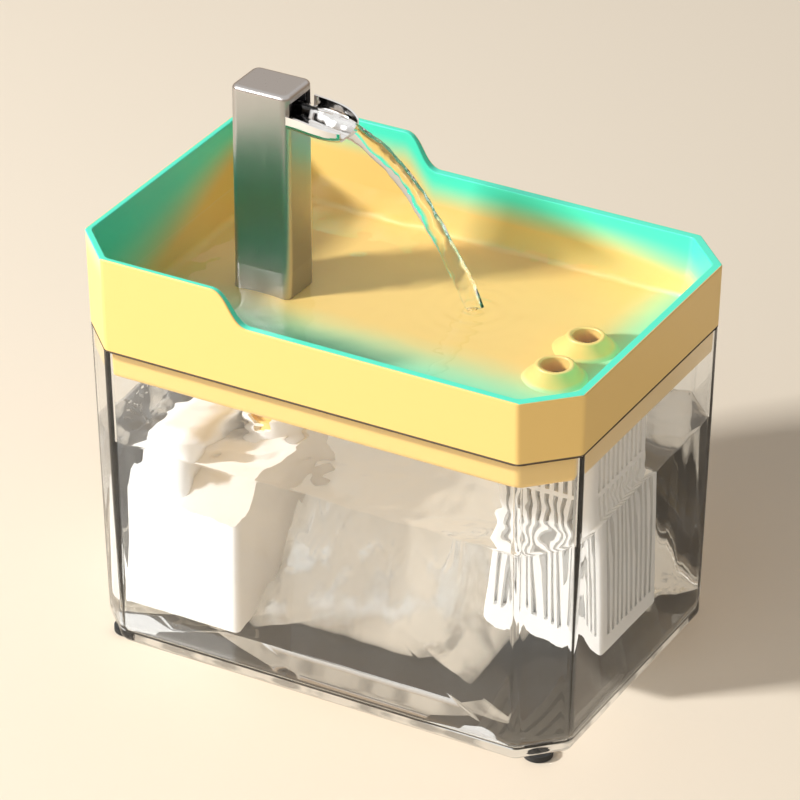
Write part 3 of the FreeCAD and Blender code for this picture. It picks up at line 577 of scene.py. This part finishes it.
class FOUNTAIN_OT_moulded(bpy.types.Operator):
    """Finishes of the moulded, rubber and foam pieces"""

    bl_idname = "fountain.moulded"
    bl_label = "Moulded Pieces"

    def execute(self, context):
        colours = context.scene.fountain_colours
        self.tray(colours)
        white = Finish("White plastic", Base_Color=colours.white, Roughness=0.38)
        white.relief(white.grain(0.6 * MM), 0.02 * MM, 0.4)
        paint(white, "white_plastic", "housing_tub", "housing_lid", "intake_cover", "filter_basket",
              "basket_lid", "cartridge_case", "cartridge_cover", "impeller")
        clear = clear_finish("Clear tank plastic", 1.49, (0.99, 0.995, 0.995, 1.0))
        height = clear.place()[2]
        underside = 1 - height.ramp(STAND + 0.3 * MM, STAND + 1.3 * MM)
        clear.relief(clear.grain(11 * MM, 2.5) * underside, 1.0 * MM)
        # Painted light: patches of the underside are partly see-through, a marbling of light and shade in
        # place of ripple caustics
        open_patch = clear.grain(13 * MM, 2.0).ramp(0.4, 0.58)
        see_through = 1 - underside * (open_patch * 0.45 + 0.5)
        clear.tree.links.new(see_through.socket, clear.surface.inputs["Alpha"])
        paint(clear, "clear_plastic", "tank")
        let_light_through(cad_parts["tank"])
        rubber = Finish("Black rubber", Base_Color=(0.02, 0.02, 0.02, 1.0), Roughness=0.7)
        paint(rubber, "black_rubber", "tank_feet", "tower_seal", "lead_gland")
        seal = Finish("Dark seal", Base_Color=(0.12, 0.09, 0.06, 1.0), Roughness=0.6)
        paint(seal, "dark_seal", "tray_seal")
        black = Finish("Black plastic", Base_Color=(0.02, 0.02, 0.022, 1.0), Roughness=0.35)
        paint(black, "black_plastic", "tower_liner", "pump_body", "pump_back_plate", "pump_cover",
              "flow_dial")
        silicone = Finish("Soft silicone", Base_Color=(0.85, 0.85, 0.83, 1.0), Roughness=0.45)
        paint(silicone, "soft_silicone", "suction_cups", "riser_pipe")
        sleeve = Finish("Yellow silicone", Base_Color=colours.tray, Roughness=0.5)
        paint(sleeve, "soft_silicone", "outlet_sleeve")
        foam = Finish("Open foam", Roughness=0.95)
        pores = foam.grain(1.2 * MM, 3.0).ramp(0.42, 0.6)
        foam.colour(foam.mix(pores, (0.02, 0.02, 0.022, 1.0), (0.14, 0.14, 0.15, 1.0)))
        foam.relief(pores, 0.6 * MM)
        paint(foam, "grey_foam", "intake_foam")
        fleece = Finish("Needled fleece", Roughness=0.95)
        felt = fleece.grain(0.8 * MM, 4.0)
        fleece.colour(fleece.mix(felt, (0.7, 0.71, 0.7, 1.0), (0.9, 0.91, 0.9, 1.0)))
        fleece.relief(felt, 0.4 * MM)
        paint(fleece, "fleece", "filter_fleece")
        ceramic = Finish("Ground ceramic", Base_Color=(0.85, 0.84, 0.8, 1.0), Roughness=0.25)
        paint(ceramic, "ceramic", "impeller_shaft", "shaft_bushes")
        return {"FINISHED"}

    def tray(self, colours):
        """Satin tray, with a painted teal glow inside its rim that fades down the walls on to the floor."""
        plastic = Finish("Tray plastic", Roughness=0.36, Coat_Weight=0.12, Coat_Roughness=0.25)
        x, y, z = plastic.place()
        spread = ((z - SHOULDER) / (tray_high.z - SHOULDER) * MM).above(0.0)
        reach_x, reach_y, leg = TANK_OUTLINE
        diagonal = math.sqrt(0.5)
        side = abs(x) - (spread + reach_x)
        end = abs(y) - (spread + reach_y)
        cut = (abs(x) + abs(y)) * diagonal - (spread * math.sqrt(2) + (reach_x + reach_y - leg) * diagonal)
        depth = -(side.above(end).above(cut))
        skin = 0.4 * MM + 4.0 * MM * (1 - z.ramp(SHOULDER, SHOULDER + 0.2 * MM))
        inside = (depth - skin).ramp(0.0, 0.3 * MM)
        rim = tray_high.z - RIM_STEP * x.ramp(RAMP_TOP, RAMP_FOOT)
        fallen = (rim - z).above(0.0) + (depth - BASIN_INSET).above(0.0)
        reach = PAINTED_GLOW_FAR + PAINTED_GLOW_NEAR * (1 - y.ramp(-70 * MM, 62 * MM)) + PAINTED_GLOW_END * x.ramp(45 * MM, 98 * MM)
        fade = 1 - (fallen / reach).ramp(0.15, 1.0)
        above_floor = z.ramp(BASIN_FLOOR - 1.5 * MM, BASIN_FLOOR - 0.5 * MM)
        near_strip = 1 - y.ramp(*NEAR_STRIP)
        end_strip = x.ramp(*END_STRIP)
        on_floor = 1 - z.ramp(BASIN_FLOOR + 0.5 * MM, BASIN_FLOOR + 3 * MM)
        strip = near_strip.above(end_strip) * on_floor * STRIP_STRENGTH
        # This mask is a painted glow, not a colour of the plastic
        tint = inside * above_floor * fade.above(strip)
        plastic.colour(plastic.mix(tint, colours.tray, colours.glow))
        plastic.relief(plastic.grain(0.5 * MM), 0.015 * MM, 0.3)
        paint(plastic, "yellow_plastic", "drinking_tray")


class FOUNTAIN_OT_metals(bpy.types.Operator):
    """Finishes of the steel, chrome, copper and magnet pieces"""

    bl_idname = "fountain.metals"
    bl_label = "Metal Pieces"

    def execute(self, context):
        colours = context.scene.fountain_colours
        steel = Finish("Satin steel", Base_Color=colours.steel, Metallic=1.0)
        lines = steel.grain(0.9 * MM, 3.0, (1.0, 1.0, 0.02))
        steel.rough(lines * 0.12 + 0.24)
        steel.relief(lines, 0.01 * MM, 0.5)
        paint(steel, "steel", "tower_shell")
        chrome = Finish("Chrome", Base_Color=(0.8, 0.8, 0.8, 1.0), Metallic=1.0, Roughness=0.07)
        paint(chrome, "chrome", "spout_lip")
        bright = Finish("Bright screw steel", Base_Color=(0.6, 0.6, 0.6, 1.0), Metallic=1.0, Roughness=0.3)
        paint(bright, "screw_steel", "pump_screws")
        sheet = Finish("Stacked laminations", Base_Color=(0.25, 0.25, 0.27, 1.0), Metallic=1.0, Roughness=0.5)
        sheet.relief(sheet.grain(0.5 * MM, 0.0, (0.01, 1.0, 0.01)), 0.1 * MM)
        paint(sheet, "lamination", "stator_core")
        copper = Finish("Enamelled copper", Base_Color=(0.72, 0.3, 0.12, 1.0), Metallic=1.0, Roughness=0.3)
        paint(copper, "copper_wire", "stator_coils")
        magnet = Finish("Ground magnet", Base_Color=(0.1, 0.1, 0.11, 1.0), Metallic=0.6, Roughness=0.5)
        paint(magnet, "magnet", "impeller_magnet")
        return {"FINISHED"}


class FOUNTAIN_OT_tank_water(bpy.types.Operator):
    """Water that stands in the tank, with waves on top"""

    bl_idname = "fountain.tank_water"
    bl_label = "Tank Water"

    def execute(self, context):
        water = context.scene.fountain_water
        height = tank_high.z - STAND
        floor = STAND + TANK_BASE

        def outline(z):
            inset = TANK_WALL - EMBED + TANK_DRAFT * (1 - (z - STAND) / height)
            length, width, leg = TANK_OUTLINE
            return rounded_octagon(length - inset, width - inset, leg - 0.586 * inset, 2 * MM, 1.6 * MM)

        levels = [(outline(floor), floor - EMBED), (outline(floor + 4 * MM), floor + 4 * MM),
                  (outline(water.tank_level), water.tank_level)]
        count = min(len(points) for points, z in levels)
        levels = [(resample(points, count), z) for points, z in levels]
        block = water_block("tank_water_block", levels, 44)
        clear = clear_finish("Tank water", 1.333, (0.985, 0.995, 0.99, 1.0))
        body = grow("tank_water", block, ripple_recipe(), {
            "Level": water.tank_level, "Wave Height": water.tank_wave, "Wave Length": 12 * MM,
            "Ring Height": 0.0, "Ring Length": 10 * MM, "Ring Centre": (0.0, 0.0, water.tank_level),
            "Ring Reach": 20 * MM, "Seed": 4.0, "Material": clear.material,
        }, "tank")
        let_light_through(body)
        return {"FINISHED"}


def resample(points, count):
    """The same closed outline with a given number of evenly spaced points."""
    lengths = [0.0]
    for i, point in enumerate(points):
        lengths.append(lengths[-1] + (points[(i + 1) % len(points)] - point).length)
    total, spaced, at = lengths[-1], [], 0
    for n in range(count):
        target = total * n / count
        while lengths[at + 1] < target:
            at += 1
        share = (target - lengths[at]) / (lengths[at + 1] - lengths[at])
        spaced.append(points[at].lerp(points[(at + 1) % len(points)], share))
    return spaced


class FOUNTAIN_OT_basin_water(bpy.types.Operator):
    """Water in the drinking tray, with rings round the place where the stream lands"""

    bl_idname = "fountain.basin_water"
    bl_label = "Basin Water"

    def execute(self, context):
        water = context.scene.fountain_water

        def outline(z):
            share = (z - BASIN_FLOOR) / (tray_high.z - BASIN_FLOOR)
            inset = BASIN_INSET - EMBED + (RIM_WALL - BASIN_INSET) * share
            length, width, leg = TANK_OUTLINE
            return rounded_octagon(length + share * MM - inset, width + share * MM - inset,
                                   leg - 0.586 * inset, 4 * MM, 1.3 * MM)

        low = BASIN_FLOOR - EMBED
        levels = [(outline(low), low), (outline(water.basin_level), water.basin_level)]
        count = min(len(points) for points, z in levels)
        levels = [(resample(points, count), z) for points, z in levels]
        block = water_block("basin_water_block", levels, 60)
        clear = clear_finish("Basin water", 1.333, (0.99, 1.0, 0.995, 1.0))
        body = grow("basin_water", block, ripple_recipe(), {
            "Level": water.basin_level, "Wave Height": water.basin_wave, "Wave Length": 14 * MM,
            "Ring Height": 0.7 * MM, "Ring Length": 6.5 * MM,
            "Ring Centre": (water.landing, 1.5 * MM, water.basin_level),
            "Ring Reach": 9 * MM, "Seed": 9.0, "Material": clear.material,
        }, "tray")
        let_light_through(body)
        return {"FINISHED"}


class FOUNTAIN_OT_stream(bpy.types.Operator):
    """Water that runs down the spout and falls into the tray"""

    bl_idname = "fountain.stream"
    bl_label = "Falling Stream"

    def execute(self, context):
        water = context.scene.fountain_water
        tip = Vector((lip_high.x - 1.0 * MM, 0.0, lip_low.z + 3.2 * MM))
        back = Vector((TOWER_X + 6 * MM, 0.0, tip.z + 2.2 * MM))
        end = Vector((water.landing, 2.0 * MM, water.basin_level - 0.6 * MM))
        path = [back, tip + Vector((-8 * MM, 0, 1.2 * MM))]
        reach, drop = end.x - tip.x, tip.z - end.z
        for step in range(25):
            share = step / 24
            sag = share * 0.22 + share * share * 0.78
            path.append(Vector((tip.x + reach * share, end.y * share, tip.z - drop * sag)))
        curve = bpy.data.curves.new("stream_path", "CURVE")
        curve.dimensions = "3D"
        line = curve.splines.new("POLY")
        line.points.add(len(path) - 1)
        for place, point in zip(line.points, path):
            place.co = (*point, 1.0)
        source = bpy.data.objects.new("stream_path", curve)
        context.scene.collection.objects.link(source)
        clear = clear_finish("Falling water", 1.333, (1.0, 1.0, 1.0, 1.0))
        body = grow("water_stream", source, stream_recipe(), {
            "Width": water.stream_width, "Thickness": 0.55 * water.stream_width, "Ruffle": 2.6 * MM,
            "Ruffle Length": 5 * MM, "Seed": 3.0, "Material": clear.material,
        }, "tower")
        let_light_through(body)
        return {"FINISHED"}


class FOUNTAIN_OT_drops(bpy.types.Operator):
    """Drops that cling under the tray round the spigot"""

    bl_idname = "fountain.drops"
    bl_label = "Clinging Drops"

    def execute(self, context):
        z = PAN_UNDERSIDE
        x0, x1, y0, y1 = -90 * MM, -24 * MM, -58 * MM, 30 * MM
        corners = [(x0, y0, z), (x1, y0, z), (x1, y1, z), (x0, y1, z)]
        sheet = mesh_object("drop_sheet", corners, [(0, 1, 2, 3)])
        clear = clear_finish("Clinging drops", 1.333, (1.0, 1.0, 1.0, 1.0))
        drops = grow("clinging_drops", sheet, droplet_recipe(), {
            "Density": 24000.0, "Smallest": 0.5 * MM, "Largest": 1.6 * MM, "Squash": 0.7, "Detail": 3,
            "Seed": 5, "Material": clear.material,
        }, "tray")
        let_light_through(drops)
        return {"FINISHED"}


class FOUNTAIN_OT_carbon(bpy.types.Operator):
    """Granules of carbon in the filter cartridge"""

    bl_idname = "fountain.carbon"
    bl_label = "Carbon Granules"

    def execute(self, context):
        edge = 1.2 * MM
        x0, x1 = bed_low.x + edge, bed_high.x - edge
        y0, y1 = bed_low.y + edge, bed_high.y - edge
        points, faces = [], []
        layers = 9
        for layer in range(layers):
            z = bed_low.z + edge + (bed_high.z - bed_low.z - 2 * edge) * layer / (layers - 1)
            start = len(points)
            points += [(x0, y0, z), (x1, y0, z), (x1, y1, z), (x0, y1, z)]
            faces.append((start, start + 1, start + 2, start + 3))
        sheets = mesh_object("carbon_layers", points, faces)
        carbon = Finish("Carbon granules", Base_Color=(0.025, 0.025, 0.027, 1.0), Roughness=0.6)
        grow("carbon_granules", sheets, droplet_recipe(), {
            "Density": 170000.0, "Smallest": 0.7 * MM, "Largest": 1.15 * MM, "Squash": 0.8, "Detail": 1,
            "Seed": 2, "Material": carbon.material,
        }, "cartridge")
        paint(carbon, "carbon", "carbon_bed")
        return {"FINISHED"}


class FOUNTAIN_OT_stage(bpy.types.Operator):
    """Floor, lights and camera"""

    bl_idname = "fountain.stage"
    bl_label = "Studio"

    def execute(self, context):
        stage = context.scene.fountain_stage
        half = 6.0
        floor = mesh_object("floor", [(-half, -half, 0), (half, -half, 0), (half, half, 0), (-half, half, 0)],
                            [(0, 1, 2, 3)])
        paper = Finish("Pale floor", Base_Color=stage.floor, Roughness=0.6)
        seen = paper.node("ShaderNodeLightPath", {}, {})
        glow = paper.node("ShaderNodeEmission", {}, {"Color": stage.floor, "Strength": 0.85})
        through = Wire(paper, seen.outputs["Is Transmission Ray"]) * 0.6
        shown = paper.node(
            "ShaderNodeMixShader", {}, {0: through, 1: paper.surface.outputs[0], 2: glow.outputs[0]}
        )
        paper.tree.links.new(shown.outputs[0], paper.output.inputs["Surface"])
        floor.data.materials.append(paper.material)
        self.lamp("key_light", (-1.5, -1.3, 1.5), 0.28, 66.0)
        self.lamp("fill_light", (-0.3, -1.9, 1.4), 1.4, 11.0)
        self.world()
        self.camera(context, stage)
        context.scene.view_settings.view_transform = "Standard"
        return {"FINISHED"}

    def lamp(self, name, place, size, power):
        """A soft square lamp that faces the fountain."""
        light = bpy.data.lights.new(name, "AREA")
        light.size, light.energy = size, power
        lamp = bpy.data.objects.new(name, light)
        lamp.location = place
        target = Vector((0, 0, 0.1))
        lamp.rotation_mode = "QUATERNION"
        lamp.rotation_quaternion = (target - Vector(place)).to_track_quat("-Z", "Y")
        lamp.visible_transmission = False
        bpy.context.scene.collection.objects.link(lamp)

    def world(self):
        """Dim light all round. Camera, metal and clear pieces see a pale sky over a tan horizon."""
        world = bpy.data.worlds.new("Studio")
        world.use_nodes = True
        nodes = Nodes(world.node_tree)
        where = nodes.node("ShaderNodeTexCoord", {}, {})
        split = nodes.node("ShaderNodeSeparateXYZ", {}, {0: where.outputs["Generated"]})
        stops = ((0.2, HORIZON_SEEN), (0.62, SKY_SEEN))
        shade = nodes.node("ShaderNodeValToRGB", {"stops": stops}, {0: split.outputs["Z"]})
        path = nodes.node("ShaderNodeLightPath", {}, {})
        camera, clear, metal = [
            Wire(nodes, path.outputs[ray])
            for ray in ("Is Camera Ray", "Is Transmission Ray", "Is Glossy Ray")
        ]
        seen = camera.above(clear.above(metal))
        tint = nodes.node(
            "ShaderNodeMix", {"data_type": "RGBA"}, {0: seen, 6: ROOM_LIGHT, 7: shade.outputs[0]}
        )
        nodes.tree.links.new(tint.outputs[2], nodes.tree.nodes["Background"].inputs["Color"])
        bpy.context.scene.world = world

    def camera(self, context, stage):
        turn, rise = stage.azimuth, stage.elevation
        back = Vector((math.sin(turn) * math.cos(rise), -math.cos(turn) * math.cos(rise), math.sin(rise)))
        data = bpy.data.cameras.new("camera")
        data.lens, data.sensor_width = stage.lens, 36.0
        data.shift_x = SHIFT
        data.clip_start, data.clip_end = 0.05, 30.0
        camera = bpy.data.objects.new("camera", data)
        camera.location = LOOK_AT + back * stage.distance
        camera.rotation_mode = "QUATERNION"
        camera.rotation_quaternion = (-back).to_track_quat("-Z", "Y")
        context.scene.collection.objects.link(camera)
        context.scene.camera = camera


OPERATORS = (
    FOUNTAIN_OT_moulded,
    FOUNTAIN_OT_metals,
    FOUNTAIN_OT_tank_water,
    FOUNTAIN_OT_basin_water,
    FOUNTAIN_OT_stream,
    FOUNTAIN_OT_drops,
    FOUNTAIN_OT_carbon,
    FOUNTAIN_OT_stage,
)


class FOUNTAIN_PT_sidebar(bpy.types.Panel):
    """Settings and steps of the fountain"""

    bl_idname = "FOUNTAIN_PT_sidebar"
    bl_label = "Water Fountain"
    bl_space_type = "VIEW_3D"
    bl_region_type = "UI"
    bl_category = "Fountain"

    def draw(self, context):
        scene = context.scene
        for settings in (scene.fountain_colours, scene.fountain_water, scene.fountain_stage):
            column = self.layout.box().column()
            for label in settings.__annotations__:
                column.prop(settings, label)
        for operator in OPERATORS:
            self.layout.operator(operator.bl_idname)


SETTINGS = (FountainColours, FountainWater, FountainStage)


def register():
    for group in (*SETTINGS, *OPERATORS, FOUNTAIN_PT_sidebar):
        bpy.utils.register_class(group)
    bpy.types.Scene.fountain_colours = bpy.props.PointerProperty(type=FountainColours)
    bpy.types.Scene.fountain_water = bpy.props.PointerProperty(type=FountainWater)
    bpy.types.Scene.fountain_stage = bpy.props.PointerProperty(type=FountainStage)


def unregister():
    del bpy.types.Scene.fountain_stage
    del bpy.types.Scene.fountain_water
    del bpy.types.Scene.fountain_colours
    for group in reversed((*SETTINGS, *OPERATORS, FOUNTAIN_PT_sidebar)):
        bpy.utils.unregister_class(group)


def main():
    register()
    bpy.ops.fountain.moulded()
    bpy.ops.fountain.metals()
    bpy.ops.fountain.tank_water()
    bpy.ops.fountain.basin_water()
    bpy.ops.fountain.stream()
    bpy.ops.fountain.drops()
    bpy.ops.fountain.carbon()
    bpy.ops.fountain.stage()


if __name__ == "__main__":
    main()
